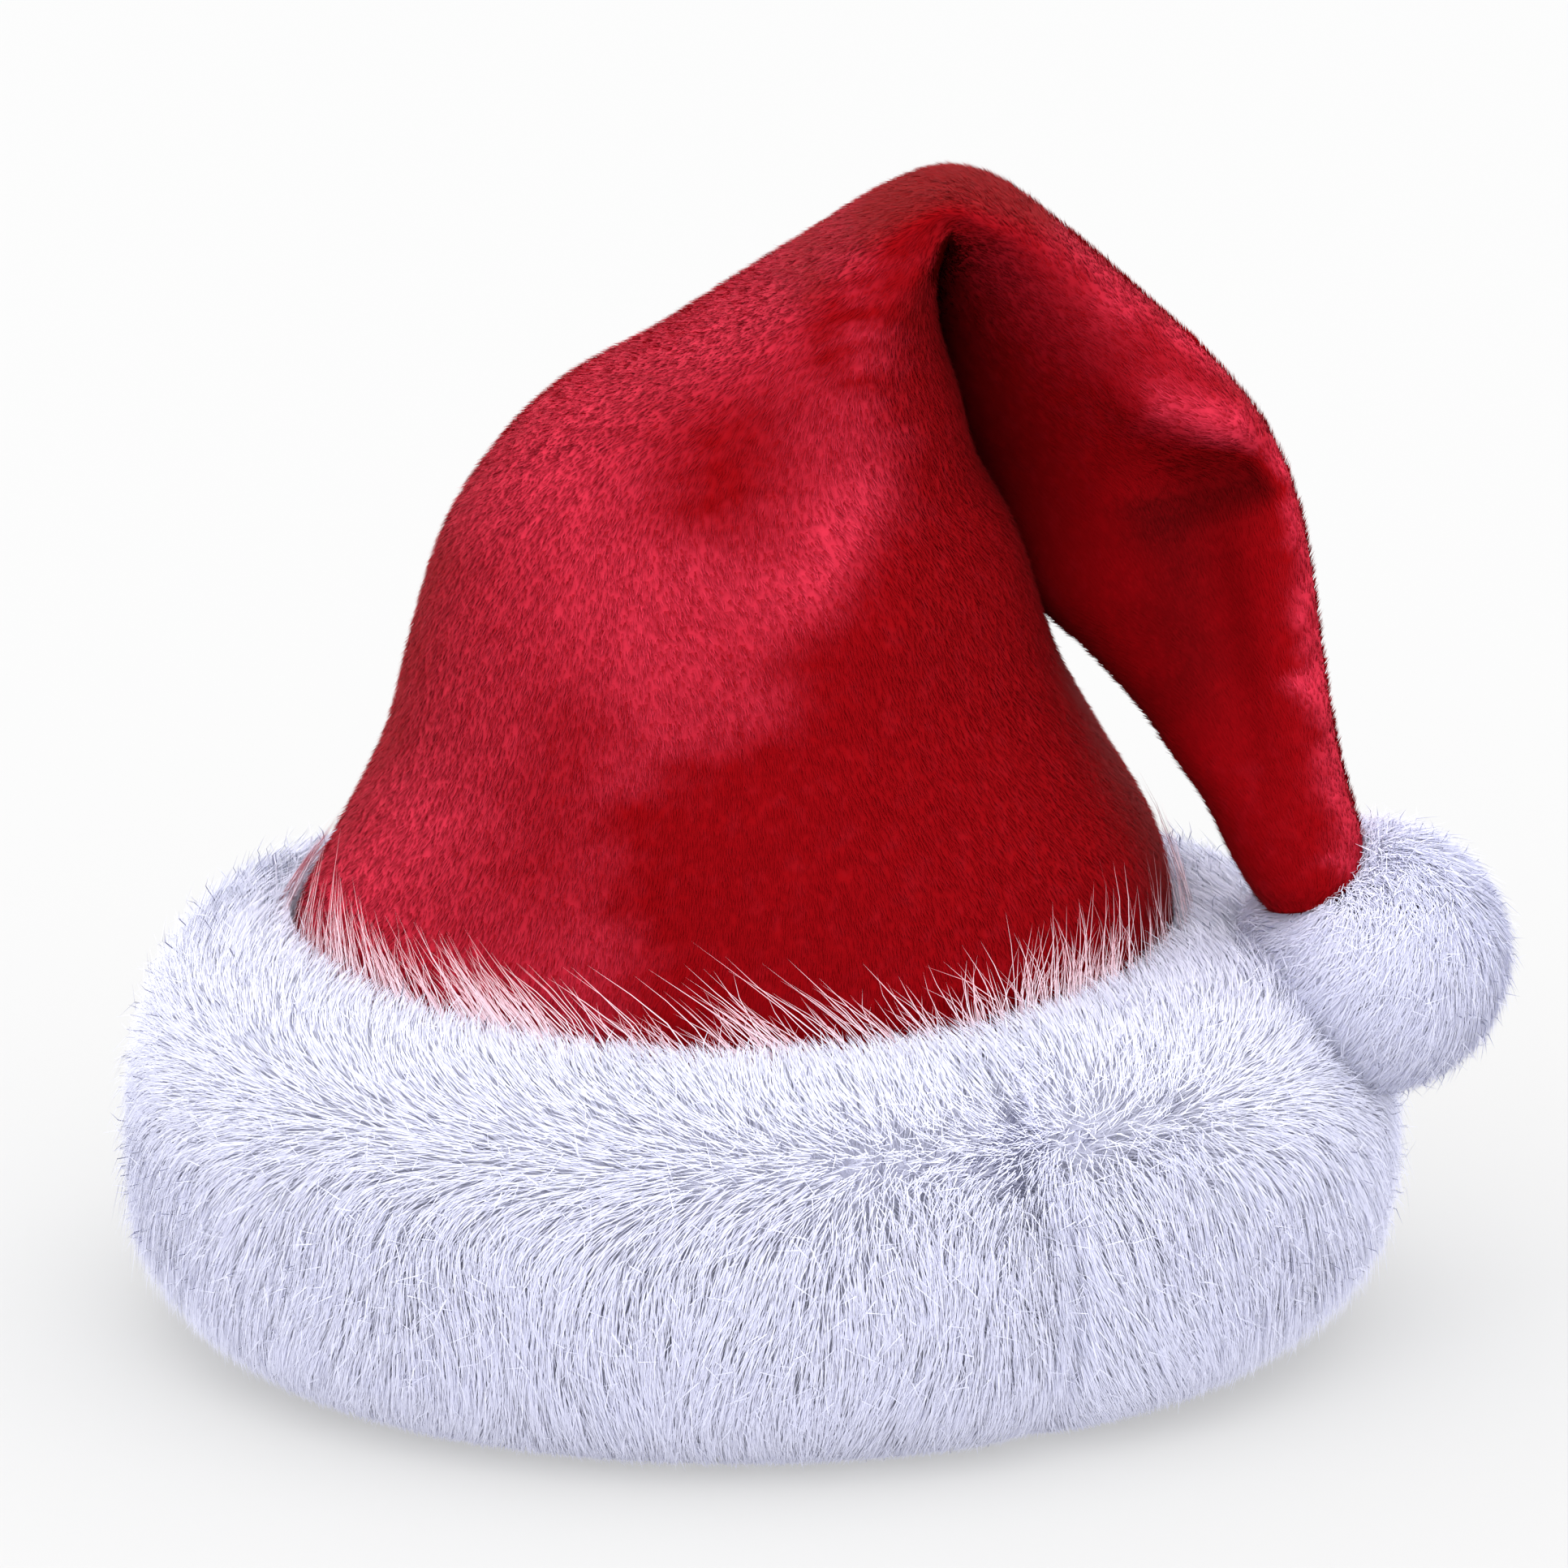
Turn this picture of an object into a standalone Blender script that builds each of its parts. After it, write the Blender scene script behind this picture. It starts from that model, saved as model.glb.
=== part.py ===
"""A plush Santa hat, standing on its fur band: crown, band and pompom.

Blender 4.5, metres, +Z up. The hat faces -Y and its tail falls towards +X.
The origin is the middle of the hat's footprint box, on the surface it stands on.
"""

import math
import random
from collections import namedtuple

import bmesh
import bpy
from mathutils import Vector

MM = 0.001

# Driving dimensions
HEAD_GIRTH = 590 * MM
PLUSH_WALL = 1.8 * MM
COLUMNS = 36
SEWING_GAP = 0.4 * MM
BAND_HEIGHT = 84 * MM
BAND_SIDE_RISE = 6 * MM
BAND_LIP_DROP = 4 * MM
BAND_ROUNDNESS = 0.84
BAND_FUR_LEFT = 37 * MM
BAND_FUR_RIGHT = 50 * MM
BAND_FUR_FRONT = 41 * MM
BAND_LOCK = 9 * MM
FOOT_LOCK_SHARE = 0.4
POMPOM_RADIUS = 31 * MM
POMPOM_LOCK = 9 * MM
LOCK_SCATTER = 0.28
POMPOM_CENTRE = Vector((138.5, -20.0, 86.0)) * MM
NEST_GAP = 7.5 * MM
TAIL_CLEARANCE = 3.5 * MM
SEAT_CLEARANCE = 3 * MM
LOCK_CLEARANCE = 1.5 * MM
SEAM_ANGLE = math.radians(-57)
SEAM_WIDTH = math.radians(7)
SEAM_DEPTH = 5 * MM

# x of the head opening's middle, which puts the footprint box's middle at the origin
OPENING_X = -16.5 * MM

OPENING_RADIUS = HEAD_GIRTH / math.tau
CROWN_RADIUS = OPENING_RADIUS + PLUSH_WALL
BAND_INNER_RADIUS = CROWN_RADIUS + SEWING_GAP

# One row for each section of the crown, from hem to tip, in mm from the middle of the opening.
# outer and inner are the section's two ends: outer lies on the left side, over the peak and
# down the tail's right side, and inner on the body's right side, round the crease and down the
# tail's left side. half_depth is the section's half size from front to back, and back_drop is
# how far its back end hangs below the middle, and its front end stands above it.
Section = namedtuple(
    "Section", "name outer_x outer_y outer_z inner_x inner_y inner_z half_depth back_drop"
)
FOLDED_SECTIONS = (
    Section("rise_1", -86.8, 0, 105, 92.5, 0, 107, 92, 0),
    Section("rise_2", -75.3, 0, 129, 79.5, 0, 130, 87, 0),
    Section("rise_3", -69.3, 0, 152, 66.3, 0, 148, 81, 0),
    Section("rise_4", -63.0, 0, 173, 57.5, 0, 174, 74, 0),
    Section("rise_5", -53.5, 0, 189, 52.5, 0, 191, 67, 0),
    Section("shoulder_1", -40.0, 0, 203, 48.5, 0, 206, 60, 0.5),
    Section("shoulder_2", -22.0, 0, 213, 44.8, 0, 218, 54, 1.5),
    Section("shoulder_3", -2.5, 0, 225, 43.5, 0, 228, 49, 1.5),
    Section("shoulder_4", 15.5, 0, 236.5, 44.0, 0, 235, 44.5, 2),
    Section("peak_left", 31.5, 0, 247.5, 45.0, 2, 238.5, 40.5, 3),
    Section("peak", 46.0, 0, 253, 46.0, 7, 241.5, 38, 3.5),
    Section("peak_right", 60.0, -1, 249.5, 45.5, 14.5, 238, 34, 2),
    Section("fall_1", 72.0, -3, 242, 43.0, 26, 228.5, 31, 2.5),
    Section("fall_2", 86.5, -5, 230, 42.5, 35, 214, 28, 1.5),
    Section("fall_3", 101.8, -8, 216.5, 46.0, 39, 195.5, 25.5, 0.5),
    Section("fall_4", 113.8, -11, 202.8, 50.5, 37.5, 180, 23, 0),
    Section("knee", 120.8, -14, 188, 55.5, 30, 169.5, 20.5, 0),
    Section("below_knee", 124.3, -16, 172.5, 62.0, 20, 159, 18.5, 0),
    Section("hang_1", 126.3, -18, 158, 76.5, 8, 149, 17, 0),
    Section("hang_2", 128.3, -20, 144, 91.5, -3, 136, 16, 0),
    Section("hang_3", 130.8, -21, 131, 98.5, -11, 127.5, 15, 0),
    Section("hang_4", 134.0, -22, 119.5, 105.0, -16, 119, 14, 0),
    Section("tip_1", 136.2, -23, 110.5, 110.5, -20, 109.5, 13, 0),
    Section("tip_2", 135.5, -24, 104.5, 114.5, -23, 102.5, 11.5, 0),
    Section("tip_end", 132.0, -24, 100.5, 117.8, -24, 97.5, 9, 0),
)

# Soft hollows (depth above 0) and ridges (below 0) pressed into the crown's front, in mm.
# Each is a stretch from one point to the other as seen from the front, with a soft width.
Dent = namedtuple("Dent", "name x1 z1 x2 z2 width depth")
DENTS = (
    Dent("front_ridge", 32, 212, 36, 172, 12, -3.0),
    Dent("left_of_ridge", 8, 204, 0, 178, 13, 3.5),
    Dent("shoulder_hollow", -26, 194, -34, 172, 10, 2.0),
    Dent("low_hollow", 42, 132, 50, 116, 18, 2.5),
    Dent("knee_ridge", 86, 208, 106, 204, 6, -3.5),
    Dent("knee_corner", 106, 204, 117, 196, 4.5, -2.0),
    Dent("knee_hollow", 90, 189, 109, 190, 8, 8.0),
    Dent("tail_groove", 102, 172, 112, 128, 7, 2.5),
)


def clear_scene():
    for obj in list(bpy.data.objects):
        bpy.data.objects.remove(obj, do_unlink=True)


def make_material(name, colour, roughness):
    material = bpy.data.materials.new(name)
    material.use_nodes = True
    shader = material.node_tree.nodes["Principled BSDF"]
    shader.inputs["Base Color"].default_value = (*colour, 1.0)
    shader.inputs["Roughness"].default_value = roughness
    shader.inputs["Metallic"].default_value = 0.0
    return material


def add_part(name, bm, collection, material):
    """An object from a bmesh that is drawn round the middle of the opening."""
    mesh = bpy.data.meshes.new(name)
    bm.to_mesh(mesh)
    bm.free()
    mesh.materials.append(material)
    obj = bpy.data.objects.new(name, mesh)
    obj.location.x = OPENING_X
    collection.objects.link(obj)
    return obj


def crown_sections():
    """The plain ring that the band hides, then the folded sections."""
    radius = CROWN_RADIUS / MM
    cuff = BAND_HEIGHT / MM
    hidden = [
        Section(name, -radius, 0, z, radius, 0, z, radius, 0)
        for name, z in (("hem", 3), ("cuff", cuff / 2), ("cuff_top", cuff))
    ]
    return [*hidden, *FOLDED_SECTIONS]


def section_ring(section):
    """The points of one section, from its outer end round its front.

    It is an ellipse, and where the plush is folded thin its two edges stay full and rounded.
    """
    outer = Vector((section.outer_x, section.outer_y, section.outer_z)) * MM
    inner = Vector((section.inner_x, section.inner_y, section.inner_z)) * MM
    centre = (outer + inner) / 2
    across = (outer - inner) / 2
    depth = Vector((0, section.half_depth, -section.back_drop)) * MM
    fullness = 0.3 + 0.7 * min(1.0, across.length / depth.length)
    ring = []
    for column in range(COLUMNS):
        turn = math.tau * column / COLUMNS
        share = math.copysign(abs(math.cos(turn)) ** fullness, math.cos(turn))
        ring.append(centre + across * share - depth * math.sin(turn))
    return ring


def dent_push(point, facing):
    """How far a point on the crown's front goes in, for a normal's share towards the front."""
    push = 0.0
    for dent in DENTS:
        start = Vector((dent.x1, dent.z1)) * MM
        along = Vector((dent.x2, dent.z2)) * MM - start
        here = Vector((point.x, point.z)) - start
        share = max(0.0, min(1.0, here.dot(along) / along.length_squared))
        away = (here - along * share).length / (dent.width * MM)
        push += dent.depth * MM * math.exp(-away * away)
    return push * max(0.0, facing)


def make_crown(collection, material):
    """The folded plush cone: a loft through its sections, closed at the tip, open at the hem."""
    bm = bmesh.new()
    rings = []
    for section in crown_sections():
        rings.append([bm.verts.new(point) for point in section_ring(section)])
    for lower, upper in zip(rings, rings[1:]):
        for column in range(COLUMNS):
            after = (column + 1) % COLUMNS
            bm.faces.new((lower[column], lower[after], upper[after], upper[column]))
    bm.faces.new(rings[-1])
    bm.normal_update()
    pushes = [
        (vert, vert.normal.copy(), dent_push(vert.co, -vert.normal.y))
        for ring in rings[3:-1]
        for vert in ring
    ]
    for vert, normal, push in pushes:
        vert.co -= normal * push
    for face in bm.faces:
        face.smooth = True
    crown = add_part("crown", bm, collection, material)
    wall = crown.modifiers.new("plush_wall", "SOLIDIFY")
    wall.thickness = PLUSH_WALL
    wall.offset = -1
    return crown


def band_fur(angle):
    """How far the fur stands out from the crown: most under the pompom, less at the seam."""
    side = BAND_FUR_RIGHT if math.cos(angle) > 0 else BAND_FUR_LEFT
    from_seam = math.remainder(angle - SEAM_ANGLE, math.tau) / SEAM_WIDTH
    groove = SEAM_DEPTH * math.exp(-from_seam * from_seam)
    return BAND_FUR_FRONT + (side - BAND_FUR_FRONT) * math.cos(angle) ** 2 - groove


def band_profile(angle):
    """The band's cross-section as (radius, height), from the inner foot round the outside."""
    fur = band_fur(angle) - BAND_LOCK * 0.8
    bulge = BAND_ROUNDNESS * fur
    middle = BAND_INNER_RADIUS + fur - bulge
    top = BAND_HEIGHT + BAND_SIDE_RISE * math.cos(angle) ** 2 - BAND_LOCK * 0.5
    squareness = 2 / 2.2
    points = [(BAND_INNER_RADIUS, 0.0)]
    for rise in (-90, -62, -36, -12, 12, 36, 62, 90):
        wide = math.cos(math.radians(rise))
        high = math.sin(math.radians(rise))
        wide = max(0.0, wide) ** squareness
        high = math.copysign(abs(high) ** squareness, high)
        points.append((middle + bulge * wide, top / 2 * (1 + high)))
    points.append((BAND_INNER_RADIUS, top - BAND_LIP_DROP))
    points.append((BAND_INNER_RADIUS, top / 2))
    return points


def clear_of(point, centre, radius):
    """The point, moved straight out of a ball if it is inside it."""
    away = point - centre
    if away.length >= radius:
        return point
    moved = centre + away.normalized() * radius
    return Vector((moved.x, moved.y, max(moved.z, 0.0)))


def grow_locks(bm, faces, tip_of, keep_clear, waist, end):
    """Turns each face into one tapered lock of fur that leaves it straight and then bends over.

    tip_of gives a lock's tip, or None for no lock, and keep_clear moves its corners off
    what the fur must not run into. waist and end are its sizes half way up and at the tip.
    """
    for face in faces:
        root = face.calc_center_median()
        tip = tip_of(face, root)
        if tip is None:
            continue
        corners = [vert.co - root for vert in face.verts]
        half_way = root + face.normal * (tip - root).length * 0.55
        for middle, size in ((half_way, waist), (tip, end)):
            made = bmesh.ops.extrude_discrete_faces(bm, faces=[face])["faces"]
            face = made[0]
            for vert, corner in zip(face.verts, corners):
                vert.co = keep_clear(middle + corner * size)


def make_band(collection, material):
    """The deep fur band: a closed ring, flat underneath, with combed locks on its outside."""
    shuffle = random.Random(7)
    bm = bmesh.new()
    ball = POMPOM_RADIUS + NEST_GAP
    rings = []
    for column in range(COLUMNS):
        angle = math.tau * column / COLUMNS
        ring = []
        for radius, height in band_profile(angle):
            turn = angle
            if radius > BAND_INNER_RADIUS and height > 0:
                turn += math.tau / COLUMNS * shuffle.uniform(-LOCK_SCATTER, LOCK_SCATTER)
            point = Vector((radius * math.cos(turn), radius * math.sin(turn), height))
            if radius > BAND_INNER_RADIUS:
                point = clear_of(point, POMPOM_CENTRE, ball)
            ring.append(bm.verts.new(point))
        rings.append(ring)
    rows = len(rings[0])
    furred = []
    for column in range(COLUMNS):
        here, after = rings[column], rings[(column + 1) % COLUMNS]
        for row in range(rows):
            above = (row + 1) % rows
            face = bm.faces.new((here[row], after[row], after[above], here[above]))
            if 1 <= row <= rows - 4:
                furred.append(face)
    bm.normal_update()

    def tip_of(face, root):
        if (root - POMPOM_CENTRE).length < ball + 0.5 * BAND_LOCK or face.normal.z < -0.8:
            return None
        angle = math.atan2(root.y, root.x)
        round_band = Vector((-math.sin(angle), math.cos(angle), 0))
        side = 1 if math.sin(angle - SEAM_ANGLE) > 0 else -1
        comb = round_band * side * shuffle.uniform(0.2, 0.8)
        comb.z = shuffle.uniform(-0.6, 0.0) if root.z < 0.6 * BAND_HEIGHT else 0.2
        foot = min(1.0, FOOT_LOCK_SHARE + root.z / (0.5 * BAND_HEIGHT))
        length = BAND_LOCK * shuffle.uniform(0.85, 1.25) * foot
        return root + (face.normal + comb).normalized() * length

    def keep_clear(point):
        point = clear_of(point, POMPOM_CENTRE, ball)
        from_crown = math.hypot(point.x, point.y) / (CROWN_RADIUS + LOCK_CLEARANCE)
        if from_crown < 1:
            point = Vector((point.x / from_crown, point.y / from_crown, point.z))
        return Vector((point.x, point.y, max(point.z, LOCK_CLEARANCE)))

    grow_locks(bm, furred, tip_of, keep_clear, waist=0.78, end=0.14)
    return add_part("fur_band", bm, collection, material)


def make_pompom(collection, material):
    """The fur ball: a core with locks all round, and a flat seat for the crown's tip."""
    shuffle = random.Random(11)
    tip = section_ring(FOLDED_SECTIONS[-1])
    seat = sum(tip, Vector()) / len(tip)
    outward = (tip[0] - seat).cross(tip[COLUMNS // 4] - seat).normalized()
    if outward.dot(seat - POMPOM_CENTRE) < 0:
        outward.negate()
    seat -= outward * SEWING_GAP
    core = POMPOM_RADIUS - POMPOM_LOCK
    bm = bmesh.new()
    bmesh.ops.create_cube(bm, size=2.0)
    bmesh.ops.subdivide_edges(bm, edges=bm.edges[:], cuts=4, use_grid_fill=True)
    for vert in bm.verts:
        scatter = [shuffle.uniform(-0.5, 0.5) * LOCK_SCATTER * 0.4 for _ in range(3)]
        vert.co = POMPOM_CENTRE + (vert.co + Vector(scatter)).normalized() * core
        above_seat = (vert.co - seat).dot(outward)
        if above_seat > 0:
            vert.co -= outward * above_seat
    bm.normal_update()

    def tip_of(face, root):
        if (root - seat).dot(outward) > -SEAT_CLEARANCE:
            return None
        away = (root - POMPOM_CENTRE).normalized()
        comb = Vector((0, 0, -0.25)) + Vector(
            (shuffle.uniform(-0.2, 0.2), shuffle.uniform(-0.2, 0.2), 0)
        )
        length = POMPOM_LOCK * shuffle.uniform(0.85, 1.0)
        return root + (away + comb * 0.6).normalized() * length

    def keep_clear(point):
        for section in FOLDED_SECTIONS[-6:]:
            ring = section_ring(section)
            middle = sum(ring, Vector()) / len(ring)
            widest = max((corner - middle).length for corner in ring)
            point = clear_of(point, middle, widest + TAIL_CLEARANCE)
        return point

    grow_locks(bm, bm.faces[:], tip_of, keep_clear, waist=1.0, end=0.35)
    return add_part("pompom", bm, collection, material)


def main():
    clear_scene()
    hat = bpy.data.collections.new("santa_hat")
    bpy.context.scene.collection.children.link(hat)
    red_plush = make_material("red_plush", (0.36, 0.004, 0.012), 0.75)
    white_fur = make_material("white_fur", (0.80, 0.82, 0.90), 0.9)
    make_crown(hat, red_plush)
    make_band(hat, white_fur)
    make_pompom(hat, white_fur)


main()
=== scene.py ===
"""The looks of the plush Santa hat: red pile on the crown, long white fur on band and pompom."""

import math
from collections import namedtuple

import bmesh
import bpy
import numpy as np
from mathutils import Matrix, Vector
from mathutils.kdtree import KDTree


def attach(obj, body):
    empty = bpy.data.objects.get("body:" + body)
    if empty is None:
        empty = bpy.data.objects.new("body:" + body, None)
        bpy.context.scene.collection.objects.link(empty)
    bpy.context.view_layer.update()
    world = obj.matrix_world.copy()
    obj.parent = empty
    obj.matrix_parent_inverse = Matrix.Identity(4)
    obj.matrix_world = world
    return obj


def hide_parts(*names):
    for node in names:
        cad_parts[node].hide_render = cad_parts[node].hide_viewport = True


MM = 0.001

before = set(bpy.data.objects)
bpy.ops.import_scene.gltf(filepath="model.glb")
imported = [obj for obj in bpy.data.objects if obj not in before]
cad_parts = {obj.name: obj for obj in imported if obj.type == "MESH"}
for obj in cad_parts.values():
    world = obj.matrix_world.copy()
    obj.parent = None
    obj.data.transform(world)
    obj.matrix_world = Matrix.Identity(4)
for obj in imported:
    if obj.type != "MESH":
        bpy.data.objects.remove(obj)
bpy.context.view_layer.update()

# The head opening's middle in the frame, and the crown where the band hides it.
OPENING_X = -16.5 * MM
CROWN_RADIUS = 95.7 * MM
BAND_TOP = 84 * MM
BAND_SIDE_RISE = 6 * MM
BAND_LIP_DROP = 5 * MM
BAND_ROUNDNESS = 0.84
BAND_LEFT = 37 * MM
BAND_RIGHT = 50 * MM
BAND_FRONT = 41 * MM
SEAM_ANGLE = math.radians(-57)
TAIL_SIDE = np.array((-0.49, -0.58, 0.65))
POMPOM = np.array((138.5, -20.0, 86.0)) * MM
POMPOM_RADIUS = 31 * MM
WALL = 1.8 * MM

# The backing lies this far inside the fur's outline, and nothing comes nearer to the floor.
BACKING_DEPTH = 12 * MM
FLOOR_GAP = 0.4 * MM
POMPOM_CORE = 19 * MM
SEAM_GROOVE = 5 * MM

# Least and greatest sizes of the pile's blades and of the fur's strands, in mm. Fur is how far a
# strand stands out, reach how far it lies over, and a small share of the strands is loose.
PILE_LENGTH = 1.5, 2.5
PILE_WIDTH = 0.45, 0.65
STRAND_WIDTH = 0.22, 0.36
BAND_FUR = 10.5, 12.5
BAND_LOOSE_FUR = 11, 16
BAND_REACH = 7, 14
POMPOM_FUR = 9.5, 11.5
POMPOM_LOOSE_FUR = 10, 14
POMPOM_REACH = 5, 10
WISP_WIDTH = 0.18, 0.3
LOOSE_SHARE = 0.06

# How many there are in each piece, and into how many tufts the fur is drawn.
PILE_BLADES = 110000
BAND_STRANDS = 55000
BAND_TUFTS = 1500
POMPOM_STRANDS = 55000
POMPOM_TUFTS = 400
WISPS_IN_TUFT = 9

# The photograph: its size in pixels, the real size of one of them, and its camera.
PHOTO_PIXELS = 1932
PIXEL = 0.176 * MM
CAMERA_DISTANCE = 3.0
CAMERA_RISE = math.radians(15)
FILM_WIDTH = 36

# Sections of the crown from hem to tip, in mm from the middle of the opening: the outer end,
# the inner end, the half size from front to back and how far the back end drops.
SECTIONS = np.array(
    (
        (-95.7, 0, 3, 95.7, 0, 3, 95.7, 0),
        (-95.7, 0, 40, 95.7, 0, 40, 95.7, 0),
        (-95.4, 0, 84, 95.5, 0, 84, 95.5, 0),
        (-86.8, 0, 105, 92.5, 0, 107, 92, 0),
        (-75.3, 0, 129, 79.5, 0, 130, 87, 0),
        (-69.3, 0, 152, 70.0, 0, 148, 81, 0),
        (-63.0, 0, 173, 61.5, 0, 174, 74, 0),
        (-53.5, 0, 189, 52.5, 0, 191, 67, 0),
        (-40.0, 0, 203, 48.5, 0, 206, 60, 0.5),
        (-22.0, 0, 213, 44.8, 0, 218, 54, 1.5),
        (-2.5, 0, 225, 43.5, 0, 228, 49, 1.5),
        (15.5, 0, 236.5, 44.0, 0, 235, 44.5, 2),
        (31.5, 0, 247.5, 45.0, 2, 238.5, 40.5, 3),
        (46.0, 0, 253, 46.0, 7, 241.5, 38, 3.5),
        (60.0, -1, 249.5, 45.5, 14.5, 238, 34, 2),
        (72.0, -3, 242, 43.0, 26, 228.5, 31, 2.5),
        (86.5, -5, 230, 42.5, 35, 214, 28, 1.5),
        (101.8, -8, 216.5, 46.0, 39, 194.5, 24.5, 0.5),
        (113.8, -11, 202.8, 52.0, 37.5, 179.5, 21.5, 0),
        (120.8, -14, 188, 57.5, 31, 167.5, 19.5, 0),
        (124.3, -16, 172.5, 64.5, 20, 156, 18, 0),
        (126.3, -18, 158, 77.0, 8.5, 147.0, 17, 0),
        (128.3, -20, 144, 89.0, -3, 136, 16, 0),
        (130.8, -21, 131, 95.8, -11, 127.5, 15, 0),
        (134.0, -22, 119.5, 102.3, -16, 119, 14, 0),
        (136.2, -23, 110.5, 107.2, -20, 109.5, 13, 0),
        (135.5, -24, 104.5, 111.5, -23, 102.5, 11.5, 0),
        (132.0, -24, 100.5, 115.3, -24, 97.5, 9, 0),
    )
)

# Soft hollows (depth above 0) and ridges (below 0) on the crown's front, in mm as seen from the
# front: x and z of both ends, width and depth.
DENTS = (
    (32, 212, 36, 172, 12, -3.0),
    (8, 204, 0, 178, 13, 3.5),
    (-26, 194, -34, 172, 10, 2.0),
    (42, 132, 50, 116, 18, 2.5),
    (86, 208, 106, 204, 6, -3.5),
    (106, 204, 117, 196, 4.5, -2.0),
    (94, 186, 111, 191, 7, 8.0),
    (99, 178, 100, 152, 12, 4.0),
    (102, 172, 112, 128, 7, 2.5),
)


# A surface that pile or fur grows from. tone and flow, which the crown alone has, say how far
# the pile is brushed up, with painted sheen and highlights above 0 and painted shade below 0,
# and which way leads to the hem.
Surface = namedtuple("Surface", "points triangles normals tone flow", defaults=(None, None))


class Wire:
    """A shader value on its way to a socket. Sums on it add Math nodes."""

    def __init__(self, tree, socket):
        self.tree = tree
        self.socket = socket

    def math(self, operation, *values):
        return add_node(self.tree, "ShaderNodeMath", {"operation": operation}, *values)

    def __add__(self, other):
        return self.math("ADD", self, other)

    def __radd__(self, other):
        return self.math("ADD", other, self)

    def __sub__(self, other):
        return self.math("SUBTRACT", self, other)

    def __rsub__(self, other):
        return self.math("SUBTRACT", other, self)

    def __mul__(self, other):
        return self.math("MULTIPLY", self, other)

    def __rmul__(self, other):
        return self.math("MULTIPLY", other, self)


def plug(tree, socket, value):
    """Gives a socket a wire or a plain value."""
    if isinstance(value, Wire):
        tree.links.new(value.socket, socket)
    elif isinstance(value, tuple) and len(value) == 3 and socket.type == "RGBA":
        socket.default_value = (*value, 1.0)
    else:
        socket.default_value = value


def add_node(tree, kind, settings, *values, out=0, **named):
    """A node of a kind: its settings first, then its sockets in order or by name."""
    node = tree.nodes.new(kind)
    for key, value in settings.items():
        setattr(node, key, value)
    for socket, value in zip(node.inputs, values):
        plug(tree, socket, value)
    for key, value in named.items():
        plug(tree, node.inputs[key.replace("_", " ")], value)
    return Wire(tree, node.outputs[out])


def blend_colours(tree, share, first, second):
    """A colour between two colours."""
    node = tree.nodes.new("ShaderNodeMix")
    node.data_type = "RGBA"
    colours = [socket for socket in node.inputs if socket.type == "RGBA"]
    plug(tree, node.inputs["Factor"], share)
    plug(tree, colours[0], first)
    plug(tree, colours[1], second)
    result = next(socket for socket in node.outputs if socket.type == "RGBA")
    return Wire(tree, result)


def new_material(name, roughness, sheen, sheen_tint):
    """A cloth material with its shader, ready for a colour."""
    material = bpy.data.materials.new(name)
    material.use_nodes = True
    tree = material.node_tree
    shader = tree.nodes["Principled BSDF"]
    shader.inputs["Roughness"].default_value = roughness
    shader.inputs["Specular IOR Level"].default_value = 0.04
    shader.inputs["Sheen Weight"].default_value = sheen
    shader.inputs["Sheen Roughness"].default_value = 0.5
    shader.inputs["Sheen Tint"].default_value = (*sheen_tint, 1.0)
    return material, tree, shader


def patchy(tree, scale, detail=2.0):
    """Soft patches over the object, as a value round a half."""
    place = add_node(tree, "ShaderNodeTexCoord", {}, out=3)
    return add_node(tree, "ShaderNodeTexNoise", {}, Vector=place, Scale=scale, Detail=detail)


def toned_material(name, dark, plain, bright, speckle):
    """A colour that follows the piece's tone: dark below 0, plain at 0, bright at 1.

    On the crown dark is painted shade and bright is brushed nap with painted sheen and
    highlights;
    on the wisps bright is a painted pink for the red plush seen through their tips.
    """
    material, tree, shader = new_material(name, 0.8, 0.02, (1.0, 0.3, 0.3))
    tone = add_node(tree, "ShaderNodeAttribute", {"attribute_name": "tone"}, out=2)
    share = tone + speckle * (patchy(tree, 260.0) - 0.5)
    colour = blend_colours(tree, share, plain, bright)
    colour = blend_colours(tree, 0 - share, colour, dark)
    plug(tree, shader.inputs["Base Color"], colour)
    return material


def fur_material(name, colour, shade):
    """White fur with a faint cool shade from lock to lock."""
    material, tree, shader = new_material(name, 0.9, 0.1, (0.9, 0.92, 1.0))
    share = patchy(tree, 90.0)
    plug(tree, shader.inputs["Base Color"], blend_colours(tree, share, colour, shade))
    return material


def spline(values, places):
    """Values between rows of a table, on a smooth curve through them."""
    count = len(values)
    row = np.clip(np.floor(places).astype(int), 0, count - 2)
    t = (places - row)[:, None]
    before = values[np.clip(row - 1, 0, count - 1)]
    here = values[row]
    after = values[row + 1]
    beyond = values[np.clip(row + 2, 0, count - 1)]
    return 0.5 * (
        2 * here
        + (after - before) * t
        + (2 * before - 5 * here + 4 * after - beyond) * t**2
        + (3 * here - before - 3 * after + beyond) * t**3
    )


def crown_points(turn, place, off=0.0):
    """Points of the crown, or points off its wall.

    turn goes round a section from the outer end, and place counts sections from the hem.
    """
    row = spline(SECTIONS, place)
    outer = row[:, 0:3] * MM
    inner = row[:, 3:6] * MM
    across = (outer - inner) / 2
    centre = (outer + inner) / 2
    half_width = np.linalg.norm(across, axis=1)
    half_depth = row[:, 6] * MM
    fullness = 0.3 + 0.7 * np.minimum(1.0, half_width / half_depth)
    share = np.copysign(np.abs(np.cos(turn)) ** fullness, np.cos(turn))
    points = centre + across * share[:, None] * (1 + off / half_width)[:, None]
    points[:, 1] -= (half_depth + off) * np.sin(turn)
    points[:, 2] += row[:, 7] * MM * np.sin(turn)
    return points


def dent_depth(points):
    """How deep the dents are at each point, seen from the front."""
    spots = points[:, (0, 2)] / MM
    return sum(depth * MM * stroke_share(spots, *stroke) for *stroke, depth in DENTS)


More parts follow.
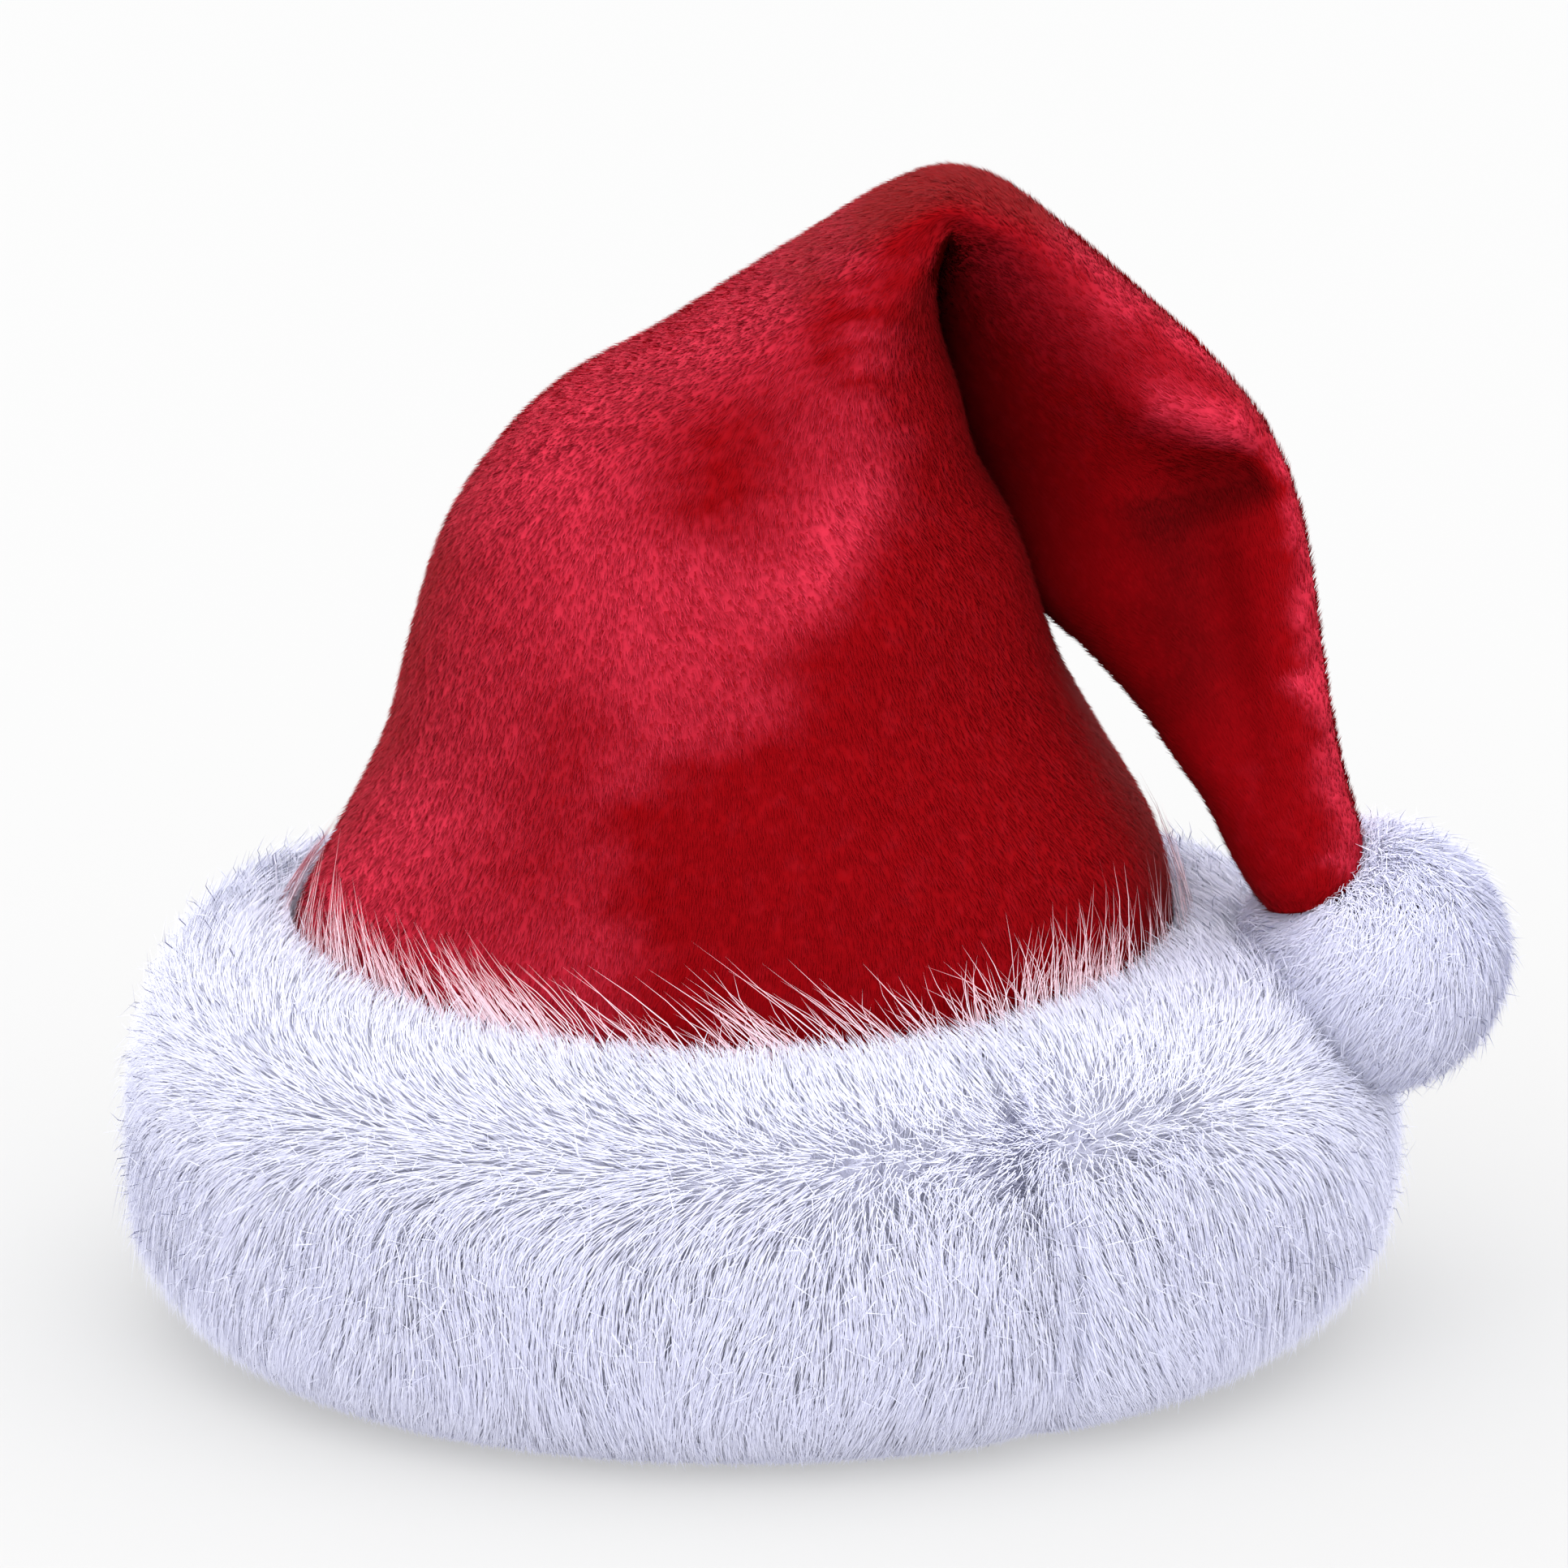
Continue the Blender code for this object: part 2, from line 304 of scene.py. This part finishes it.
def mesh_arrays(mesh):
    """A mesh's points, triangles and normals as arrays, as a surface to grow strands from."""
    points = np.empty(len(mesh.vertices) * 3)
    mesh.vertices.foreach_get("co", points)
    normals = np.empty(len(mesh.vertices) * 3)
    mesh.vertices.foreach_get("normal", normals)
    mesh.calc_loop_triangles()
    triangles = np.empty(len(mesh.loop_triangles) * 3, dtype=np.int32)
    mesh.loop_triangles.foreach_get("vertices", triangles)
    arrays = points, triangles, normals
    return Surface(*(values.reshape(-1, 3) for values in arrays))


def in_frame(points):
    """Points given from the middle of the opening, in the frame."""
    return points + (OPENING_X, 0, 0)


def add_piece(name, mesh, material, replaced=()):
    obj = bpy.data.objects.new(name, mesh)
    mesh.materials.append(material)
    bpy.context.scene.collection.objects.link(obj)
    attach(obj, "root")
    if replaced:
        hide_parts(*replaced)
    return obj


def grid_surface(across, along, place_points):
    """A fine grid bent into a tube by place_points, with its seam closed.

    Its flow layer holds the direction towards the tube's start at each point.
    """
    bm = bmesh.new()
    bmesh.ops.create_grid(bm, x_segments=across, y_segments=along, size=0.5)
    spots = np.array([vert.co for vert in bm.verts])
    turn, share = (spots[:, 0] + 0.5) * math.tau, spots[:, 1] + 0.5
    points = place_points(turn, share)
    flow = place_points(turn, np.maximum(share - 0.004, 0)) - place_points(turn, share)
    layer = bm.verts.layers.float_vector.new("flow")
    for vert, point, towards in zip(bm.verts, points, flow):
        vert.co = point
        vert[layer] = towards
    bmesh.ops.remove_doubles(bm, verts=bm.verts, dist=1e-6)
    bmesh.ops.recalc_face_normals(bm, faces=bm.faces)
    for face in bm.faces:
        face.smooth = True
    return bm


def finish_mesh(bm, name):
    mesh = bpy.data.meshes.new(name)
    bm.to_mesh(mesh)
    bm.free()
    return mesh


def set_attribute(mesh, name, values):
    mesh.attributes.new(name, "FLOAT", "POINT").data.foreach_set("value", values)


# Where the pile is brushed up and painted lighter as a sheen highlight on its lit left side, as
# the photograph's camera sees it: height and x of its right edge, in mm.
NAP_SHEEN_EDGE = np.array(
    (
        (81, -22),
        (95, -26),
        (109, -26),
        (123, -16),
        (126, 1),
        (133, 9),
        (143, 12),
        (154, 15),
        (160, 22),
        (167, 27),
        (181, 34),
        (196, 33),
        (226, 30),
        (233, 27),
        (243, 22),
        (252, 18),
    )
)

# Strokes on top of that, lighter (amount above 0) or darker (below 0): brushed nap with painted
# sheen, painted highlights on the tail and painted shade, as marked. x and height of both ends,
# width and amount.
NAP_SHEEN_AND_SHADE_STROKES = (
    (-36, 207, 20, 239, 8, 0.3),
    (-9, 217, -2, 214, 13, 0.45),
    (-48, 184, -36, 200, 12, 0.3),
    (-36, 185, -19, 150, 15, 0.25),
    (28, 184, 19, 166, 6, 0.45),
    (-9, 167, 14, 160, 8, 0.3),
    (2, 200, -4, 180, 14, -0.5),
    (17, 236, 22, 212, 6, -0.45),
    # Painted shade along the left outline, where the crown turns away.
    (-66, 172, -80, 112, 8, -0.3),
    (-84, 94, -71, 110, 13, 0.55),
    (-40, 100, -33, 132, 11, -0.3),
    # Painted highlights along the tail's knee ridge, its right rim and its upper edge, and a
    # faint painted lightening beside the crease.
    (92, 202.5, 106, 198.5, 4, 0.8),
    (106, 198.5, 118.5, 189, 3.5, 0.8),
    (122, 188, 127, 141, 4, 0.75),
    (127, 141, 134, 102, 4, 0.75),
    (72, 240, 100, 219, 4, 0.55),
    (100, 219, 119, 198, 4, 0.7),
    (80, 226, 83, 224, 5, 0.45),
    (58, 232, 94, 212, 12, 0.18),
    # Painted shade in the hollow under the knee and on the tail's lower left.
    (92, 178, 110, 184, 7, -0.9),
    (95, 166, 99, 141, 9, -0.6),
)

# How much lower a point appears to that camera for each millimetre that it is nearer.
VIEW_DROP = math.tan(CAMERA_RISE)


def stroke_share(spots, x1, z1, x2, z2, width):
    """How near each spot is to a stroke, from 0 far off to 1 on it."""
    start = np.array((x1, z1))
    along = np.array((x2, z2)) - start
    share = np.clip((spots - start) @ along / (along @ along), 0, 1)
    away = np.linalg.norm(spots - start - share[:, None] * along, axis=1) / width
    return np.exp(-(away**2))


def nap_sheen_and_shade_share(points):
    """How far the pile is brushed up at each point of the crown, with painted sheen and
    highlights above 0 and painted shade below 0.
    """
    x, y, z = points.T / MM
    height = z - VIEW_DROP * np.abs(y)
    wave = 2.5 * np.sin(height * 0.33) + 2 * np.sin(height * 0.81 + 1)
    wave += 1.5 * np.sin(height * 1.7 - x * 0.3)
    edge = np.interp(height, NAP_SHEEN_EDGE[:, 0], NAP_SHEEN_EDGE[:, 1])
    share = 0.5 / (1 + np.exp((x - edge - wave) / 2.5))
    spots = np.stack((x + 0.6 * wave, height), axis=1)
    for *stroke, amount in NAP_SHEEN_AND_SHADE_STROKES:
        share += amount * stroke_share(spots, *stroke)
    return np.clip(share, -1, 1)


def make_crown(material):
    """The plush shell: its outside and its inside wall."""
    last = len(SECTIONS) - 1

    def outside(turn, share):
        return crown_points(turn, share * last)

    bm = grid_surface(110, 120, outside)
    rims = [edge for edge in bm.edges if edge.is_boundary]
    tip_edges = [edge for edge in rims if edge.verts[0].co.z > 50 * MM]
    bmesh.ops.contextual_create(bm, geom=tip_edges)
    bmesh.ops.recalc_face_normals(bm, faces=bm.faces)
    bm.normal_update()
    points = np.array([vert.co for vert in bm.verts])
    normals = np.array([vert.normal for vert in bm.verts])
    push = dent_depth(points) * np.maximum(0, -normals[:, 1])
    push *= points[:, 2] > 100 * MM
    points -= normals * push[:, None]
    for vert, point in zip(bm.verts, points):
        vert.co = point
    bm.normal_update()
    mesh = finish_mesh(bm, "crown_plush")
    surface = mesh_arrays(mesh)
    # The tone is brushed nap with painted sheen and highlights above 0, painted shade below 0.
    tone = nap_sheen_and_shade_share(surface.points)
    set_attribute(mesh, "tone", tone)
    flow = np.empty(surface.points.size)
    mesh.attributes["flow"].data.foreach_get("vector", flow)
    mesh.vertices.foreach_set("co", in_frame(surface.points).ravel())
    crown = add_piece("crown_plush", mesh, material, ("crown",))
    wall = crown.modifiers.new("plush_wall", "SOLIDIFY")
    wall.thickness = WALL
    wall.offset = -1
    return surface._replace(tone=tone, flow=flow.reshape(-1, 3))


def scatter(rng, surface, count, weight=None):
    """Random spots on a surface, even by area: the spots' values for any values of its points."""
    points, triangles = surface.points, surface.triangles
    a, b, c = (points[triangles[:, corner]] for corner in range(3))
    area = np.linalg.norm(np.cross(b - a, c - a), axis=1)
    if weight is not None:
        area = area * weight[triangles].mean(axis=1)
    picked = rng.choice(len(triangles), size=count, p=area / area.sum())
    root = np.sqrt(rng.random(count))
    split = rng.random(count)
    shares = np.stack((1 - root, root * (1 - split), root * split), axis=1)

    def value_at(values):
        corners = values[triangles[picked]]
        if corners.ndim == 2:
            return (corners * shares).sum(axis=1)
        return (corners * shares[:, :, None]).sum(axis=1)

    return value_at


def unit(vectors):
    return vectors / np.maximum(np.linalg.norm(vectors, axis=1, keepdims=True), 1e-12)


def flat_on(normals, directions):
    """Directions turned to lie flat on a surface."""
    return unit(directions - normals * (directions * normals).sum(axis=1, keepdims=True))


def from_seam(angle):
    """Angles counted from the band's seam, from -pi to pi."""
    return np.remainder(angle - SEAM_ANGLE + math.pi, math.tau) - math.pi


def strand_mesh(name, path, widths, sides, shading, tones=None):
    """Flat tapered strands as one mesh.

    path holds the levels, root first, each with a point of every strand. shading holds the
    direction that each strand's light is worked out for, and tones a value for each level of
    every strand.
    """
    levels, count = path.shape[0], path.shape[1]
    corners = []
    for level in range(levels - 1):
        spread = sides * widths[level][:, None] / 2
        corners += [path[level] - spread, path[level] + spread]
    corners.append(path[-1])
    verts = np.stack(corners, axis=1).reshape(-1, 3)
    per = 2 * levels - 1
    starts = np.arange(count)[:, None] * per
    loops = []
    for level in range(levels - 2):
        low = 2 * level
        loops.append(starts + np.array((low, low + 1, low + 3, low + 2)))
    tip = 2 * (levels - 2)
    loops.append(starts + np.array((tip, tip + 1, tip + 2)))
    sizes = [4] * (levels - 2) + [3]
    mesh = bpy.data.meshes.new(name)
    mesh.vertices.add(len(verts))
    mesh.vertices.foreach_set("co", verts.ravel())
    order = np.concatenate(loops, axis=1)
    mesh.loops.add(order.size)
    mesh.loops.foreach_set("vertex_index", order.ravel())
    face_sizes = np.tile(sizes, count)
    face_starts = np.concatenate(((0,), np.cumsum(face_sizes)[:-1]))
    mesh.polygons.add(len(face_sizes))
    mesh.polygons.foreach_set("loop_start", face_starts)
    mesh.polygons.foreach_set("use_smooth", np.ones(len(face_sizes), dtype=bool))
    mesh.update(calc_edges=True)
    soft = mesh.attributes.new("custom_normal", "FLOAT_VECTOR", "POINT")
    soft.data.foreach_set("vector", np.repeat(shading, per, axis=0).ravel())
    if tones is not None:
        values = np.concatenate((np.repeat(tones[:-1], 2, axis=0), tones[-1:]))
        set_attribute(mesh, "tone", values.T.ravel())
    return mesh


def facing_sides(rng, lean, normals, stray):
    """Directions across strands that turn their flat faces outwards, some more than others."""
    across = np.cross(lean, normals) + rng.normal(0, stray, lean.shape) * 0.5
    across -= lean * (across * lean).sum(axis=1, keepdims=True)
    return unit(across)


def make_pile(surface, name, count, seed, material):
    """Short red pile: thin blades that lie towards the hem, or are brushed across."""
    rng = np.random.default_rng(seed)
    under_band = BAND_TOP - 8 * MM
    at = scatter(rng, surface, count, (surface.points[:, 2] > under_band).astype(float))
    roots = at(surface.points)
    normals = unit(at(surface.normals))
    tone = at(surface.tone)
    # The brushed share of the pile, which also carries its painted sheen and highlights.
    brushed = np.clip(tone, 0, 1)[:, None]
    flow = unit(at(surface.flow))
    nap = flow + np.cross(normals, flow) * (0.5 * brushed)
    nap = nap + rng.normal(0, 0.1, (count, 3)) * (1 + brushed)
    lying = flat_on(normals, nap)
    lift = 0.25 + 0.2 * brushed + np.abs(rng.normal(0, 0.2, (count, 1)))
    lean = unit(lying + normals * lift)
    length = MM * rng.uniform(*PILE_LENGTH, (count, 1))
    tips = roots + lean * length
    sides = facing_sides(rng, lean, normals, 0.2)
    widths = [MM * rng.uniform(*PILE_WIDTH, count)]
    path = in_frame(np.stack((roots - lean * 0.2 * MM, tips)))
    shading = unit(normals + lean * 0.1 + rng.normal(0, 0.07, (count, 3)) * (0.3 + brushed))
    # Painted glints: brushed blades get a random share of the painted sheen, and each tip carries
    # the painted sheen and shade more strongly than its root.
    tone = tone * np.where(tone > 0, rng.uniform(0.3, 1.3, count), 1.0)
    tones = np.clip(np.stack((tone * 0.75, tone * 1.2)), -1, 1.3)
    mesh = strand_mesh(name, path, widths, sides, shading, tones)
    add_piece(name, mesh, material)


def band_fur(angle):
    """How far the fur's outline stands out from the crown."""
    side = np.where(np.cos(angle) > 0, BAND_RIGHT, BAND_LEFT)
    seam = from_seam(angle)
    groove = SEAM_GROOVE * np.exp(-((seam / math.radians(3.5)) ** 2))
    return BAND_FRONT + (side - BAND_FRONT) * np.cos(angle) ** 2 - groove


def off_ball(points, centre, radius):
    """Points inside a ball, moved straight out of it."""
    away = points - centre
    distance = np.linalg.norm(away, axis=-1, keepdims=True)
    return np.where(distance < radius, centre + away / distance * radius, points)


def place_backing(angle, share):
    """Points of the cloth that the band's fur grows from, inside the fur's outline."""
    inner = CROWN_RADIUS + 0.5 * MM
    fur = band_fur(angle) - BACKING_DEPTH
    bulge = BAND_ROUNDNESS * fur
    top = BAND_TOP + BAND_SIDE_RISE * np.cos(angle) ** 2 - BACKING_DEPTH * 0.6
    rise = np.clip((share - 0.5) * math.pi * 1.12, -math.pi / 2, math.pi / 2)
    radius = inner + fur - bulge + bulge * np.cos(rise) ** 0.9
    height = top / 2 * (1 + np.copysign(np.abs(np.sin(rise)) ** 0.9, np.sin(rise)))
    inward = np.clip((share - 0.95) / 0.05, 0, 1)
    outward = np.clip((0.05 - share) / 0.05, 0, 1)
    radius += (inner - radius) * np.maximum(inward, outward)
    height = np.maximum(height - inward * BAND_LIP_DROP, FLOOR_GAP)
    points = np.stack((radius * np.cos(angle), radius * np.sin(angle), height), axis=1)
    points = off_ball(points, POMPOM, POMPOM_RADIUS - 1 * MM)
    points[:, 2] = np.maximum(points[:, 2], FLOOR_GAP)
    return points


def make_band_backing(material):
    """The band's closed ring of backing cloth, under the fur."""
    mesh = finish_mesh(grid_surface(160, 48, place_backing), "band_backing")
    surface = mesh_arrays(mesh)
    ring = unit(surface.points * (1, 1, 0)) * 0.115 + (0, 0, 0.04)
    if ((surface.points - ring) * surface.normals).sum() < 0:
        mesh.flip_normals()
        surface = mesh_arrays(mesh)
    mesh.vertices.foreach_set("co", in_frame(surface.points).ravel())
    add_piece("band_backing", mesh, material, ("fur_band",))
    return surface


def clump_pull(rng, roots, tips, clumps, pull):
    """Draws the tips of neighbouring strands together into soft tufts."""
    chosen = rng.choice(len(roots), size=clumps, replace=False)
    tree = KDTree(clumps)
    for index, strand in enumerate(chosen):
        tree.insert(roots[strand], index)
    tree.balance()
    nearest = np.array([tree.find(root)[1] for root in roots])
    return tips + (tips[chosen][nearest] - tips) * pull[:, None]


def bend_over(roots, normals, lying, height, reach):
    """Paths of strands that rise steeply from their roots and then lie over, as three levels."""
    half_way = roots + normals * (height * 0.85) + lying * (reach * 0.35)
    return np.stack((roots, half_way, roots + normals * height + lying * reach))


def fur_mesh(rng, name, path, normals):
    """Fine white strands along paths, lit as the soft form that they lie on."""
    count = path.shape[1]
    lean = unit(path[2] - path[1])
    width = MM * rng.uniform(*STRAND_WIDTH, count)
    sides = facing_sides(rng, lean, normals, 0.4)
    shading = unit(normals + lean * 0.15 + rng.normal(0, 0.03, (count, 3)))
    return strand_mesh(name, in_frame(path), [width, width * 0.8], sides, shading)


def make_band_fur(surface, name, count, seed, material):
    """Long soft strands over the band, combed down, over its crest and away from its seam."""
    rng = np.random.default_rng(seed)
    over_floor = 3 * FLOOR_GAP
    at = scatter(rng, surface, count, (surface.points[:, 2] > over_floor).astype(float))
    roots = at(surface.points)
    normals = unit(at(surface.normals))
    angle = np.arctan2(roots[:, 1], roots[:, 0])
    seam = from_seam(angle)
    ring = np.stack((-np.sin(angle), np.cos(angle), 0 * angle), axis=1)
    out = np.stack((np.cos(angle), np.sin(angle), 0 * angle), axis=1)
    high = roots[:, 2] / BAND_TOP
    crest = np.clip((high - 0.6) / 0.35, 0, 1)
    wave = np.sin(angle * 7 + 6 * high) * 0.2 + np.sin(angle * 19 - 8 * high) * 0.12
    parting = 0.35 * np.tanh(seam / 0.05) * np.exp(-((seam / 0.3) ** 2)) * (1 - crest)
    swept = (0.4 * crest + 2 * crest * (1 - crest)) * np.tanh(seam / 0.7)
    comb = ring * (wave + parting + swept)[:, None] - out * (0.8 * crest)[:, None]
    comb[:, 2] += -0.8 * (1 - crest) + 0.2 * crest
    loose = rng.random(count) < LOOSE_SHARE
    comb += rng.normal(0, 1, (count, 3)) * np.where(loose, 0.8, 0.1)[:, None]
    lying = flat_on(normals, comb)
    low = np.clip(0.2 + roots[:, 2] / (34 * MM), 0.2, 1)
    parted = np.exp(-((seam / 0.014) ** 2)) * np.clip((roots[:, 2] - 18 * MM) / (12 * MM), 0, 1)
    parted *= 1 - crest
    height = np.where(loose, rng.uniform(*BAND_LOOSE_FUR, count), rng.uniform(*BAND_FUR, count))
    height *= MM * low * (1 - 0.5 * parted)
    reach = MM * rng.uniform(*BAND_REACH, count) * low * (1 - 0.4 * crest)
    path = bend_over(roots, normals, lying, height[:, None], reach[:, None])
    path[2] = clump_pull(rng, roots, path[2], BAND_TUFTS, rng.uniform(0.0, 0.2, count))
    path = off_ball(path, POMPOM, POMPOM_RADIUS - 3 * MM)
    path[..., 2] = np.maximum(path[..., 2], FLOOR_GAP)
    from_axis = np.hypot(path[..., 0], path[..., 1])
    clear = np.maximum(1.0, (CROWN_RADIUS + 0.6 * MM) / from_axis)
    path[..., 0] *= clear
    path[..., 1] *= clear
    add_piece(name, fur_mesh(rng, name, path, normals), material)


def make_wisps(material):
    """Long loose strands that lie from the band's crest over the red plush."""
    rng = np.random.default_rng(31)
    tufts = np.concatenate((rng.uniform(0, math.tau, 110), rng.uniform(-2.8, -0.6, 60)))
    each = WISPS_IN_TUFT
    count = len(tufts) * each
    angle = np.repeat(tufts, each) + rng.normal(0, 0.045, count)
    seam = from_seam(angle)
    left = 0.5 - 0.5 * np.tanh(seam / 0.12)
    along = np.repeat(rng.uniform(0.2, 1.0, len(tufts)), each) * rng.uniform(0.5, 1.15, count)
    # Right of the seam the tufts drift 8 mm to the right, and left of it 36 mm to the left.
    drift = along * (8 - 44 * left) + rng.normal(0, 3.5, count)
    rise = 2 + along * (25 - 3 * left) + rng.normal(0, 1.5, count)
    swing = rng.normal(0, 3.0, count)
    off_wall = rng.uniform(0.8, 2.6, count)
    root_height = (BAND_TOP + BAND_SIDE_RISE * np.cos(angle) ** 2) / MM - 4
    path = []
    for share in (0.0, 0.25, 0.5, 0.75, 1.0):
        curl = swing * math.sin(math.pi * share)
        turned = angle + (drift * share + curl) * MM / CROWN_RADIUS
        height = root_height + rise * share**1.1
        place = np.interp(height, SECTIONS[2:7, 2], np.arange(2, 7))
        off = 1.6 + 5 * (1 - share) ** 2 + off_wall * share
        path.append(crown_points(turned + math.pi, place, off * MM))
    path = off_ball(np.stack(path), POMPOM, POMPOM_RADIUS)
    normals = unit(path[2] * (1, 1, 0) + (0, 0, 0.3 * CROWN_RADIUS))
    sides = facing_sides(rng, unit(path[-1] - path[0]), normals, 0.5)
    width = MM * rng.uniform(*WISP_WIDTH, count)
    widths = [width, width, width * 0.85, width * 0.6]
    # Painted pink grows from root to tip, for the red plush seen through the thin strands.
    tones = np.array((0.0, 0.2, 0.5, 0.8, 1.0))[:, None] * rng.uniform(0.5, 1.0, count)
    mesh = strand_mesh("band_wisps", in_frame(path), widths, sides, normals, tones)
    add_piece("band_wisps", mesh, material)


def make_pompom(material, fur):
    """The pompom: a round core and its fur, pressed down where the tail is sewn on."""
    bm = bmesh.new()
    bmesh.ops.create_icosphere(bm, subdivisions=5, radius=POMPOM_CORE)
    bmesh.ops.translate(bm, verts=bm.verts, vec=Vector(POMPOM))
    for face in bm.faces:
        face.smooth = True
    mesh = finish_mesh(bm, "pompom_core")
    surface = mesh_arrays(mesh)
    mesh.vertices.foreach_set("co", in_frame(surface.points).ravel())
    add_piece("pompom_core", mesh, material, ("pompom",))
    rng = np.random.default_rng(41)
    count = POMPOM_STRANDS
    at = scatter(rng, surface, count)
    roots = at(surface.points)
    normals = unit(at(surface.normals))
    around = np.cross(normals, np.array((0.2, -0.5, 1.0)))
    pressed = np.exp(-((np.arccos(np.clip(normals @ TAIL_SIDE, -1, 1)) / 0.6) ** 4))
    loose = rng.random(count) < LOOSE_SHARE
    stray = np.where(loose, 0.8, 0.2)[:, None]
    comb = around * 0.5 + (0, 0, -0.8) + rng.normal(0, 1, (count, 3)) * stray
    comb -= TAIL_SIDE * (1.5 * pressed)[:, None]
    lying = flat_on(normals, comb)
    loose_height = rng.uniform(*POMPOM_LOOSE_FUR, count)
    height = np.where(loose, loose_height, rng.uniform(*POMPOM_FUR, count))
    height *= MM * (1 - 0.6 * pressed)
    reach = MM * rng.uniform(*POMPOM_REACH, count) * (1 - 0.3 * pressed)
    path = bend_over(roots, normals, lying, height[:, None], reach[:, None])
    path[2] = clump_pull(rng, roots, path[2], POMPOM_TUFTS, rng.uniform(0.0, 0.2, count))
    path[..., 2] = np.maximum(path[..., 2], 1 * MM)
    add_piece("pompom_fur", fur_mesh(rng, "pompom_fur", path, normals), fur)


def make_stage():
    """A plain pale floor, soft light and the camera at the photograph's angle."""
    bm = bmesh.new()
    bmesh.ops.create_grid(bm, x_segments=1, y_segments=1, size=30.0)
    floor = bpy.data.objects.new("floor", finish_mesh(bm, "floor"))
    material = bpy.data.materials.new("pale_floor")
    material.use_nodes = True
    shader = material.node_tree.nodes["Principled BSDF"]
    shader.inputs["Base Color"].default_value = (0.30, 0.30, 0.30, 1.0)
    shader.inputs["Emission Color"].default_value = (1.0, 1.0, 1.0, 1.0)
    shader.inputs["Emission Strength"].default_value = 0.44
    shader.inputs["Roughness"].default_value = 1.0
    shader.inputs["Specular IOR Level"].default_value = 0.0
    floor.data.materials.append(material)
    bpy.context.scene.collection.objects.link(floor)

    world = bpy.data.worlds.new("studio")
    world.use_nodes = True
    background = world.node_tree.nodes["Background"]
    background.inputs["Color"].default_value = (1.0, 1.0, 1.0, 1.0)
    background.inputs["Strength"].default_value = 1.57
    bpy.context.scene.world = world

    sun = bpy.data.lights.new("key", "SUN")
    sun.energy = 0.95
    sun.angle = math.radians(60)
    key = bpy.data.objects.new("key", sun)
    key.rotation_euler = Vector((0.05, 0.85, -0.95)).to_track_quat("-Z", "Y").to_euler()
    bpy.context.scene.collection.objects.link(key)

    lens = bpy.data.cameras.new("camera")
    lens.sensor_width = FILM_WIDTH
    lens.lens = FILM_WIDTH * CAMERA_DISTANCE / (PHOTO_PIXELS * PIXEL)
    lens.clip_end = 100
    camera = bpy.data.objects.new("camera", lens)
    target = Vector((OPENING_X + 11.3 * MM, 0, 118.6 * MM))
    away = Vector((0, -math.cos(CAMERA_RISE), math.sin(CAMERA_RISE)))
    camera.location = target + away * CAMERA_DISTANCE
    camera.rotation_euler = (math.pi / 2 - CAMERA_RISE, 0, 0)
    bpy.context.scene.collection.objects.link(camera)
    bpy.context.scene.camera = camera
    bpy.context.scene.view_settings.view_transform = "Standard"


# Red in painted shade, plain red and brushed red painted lighter as sheen and highlights, and the
# wisps' white from root to a tip painted pink for the red plush seen through it.
reds = (0.10, 0.0002, 0.0012), (0.25, 0.0004, 0.0026), (0.62, 0.028, 0.062)
pinks = (0.90, 0.86, 0.95), (0.90, 0.82, 0.91), (0.82, 0.36, 0.42)
red_plush = toned_material("red_plush_cloth", *reds, 0.2)
red_pile = toned_material("red_plush_pile", *reds, 0.2)
white_backing = fur_material("white_fur_backing", (0.87, 0.875, 1.0), (0.85, 0.855, 1.0))
white_fur = fur_material("white_fur_strands", (0.82, 0.83, 0.995), (0.79, 0.80, 0.985))
white_wisps = toned_material("white_fur_wisps", *pinks, 0.0)

thin = 1.0
crown_surface = make_crown(red_plush)
for pile_name, seed in (("crown_pile_1", 21), ("crown_pile_2", 22)):
    make_pile(crown_surface, pile_name, int(PILE_BLADES * thin), seed, red_pile)
band_surface = make_band_backing(white_backing)
for fur_name, seed in (("band_fur_1", 51), ("band_fur_2", 52), ("band_fur_3", 53)):
    make_band_fur(band_surface, fur_name, int(BAND_STRANDS * thin), seed, white_fur)
make_wisps(white_wisps)
make_pompom(white_backing, white_fur)
make_stage()
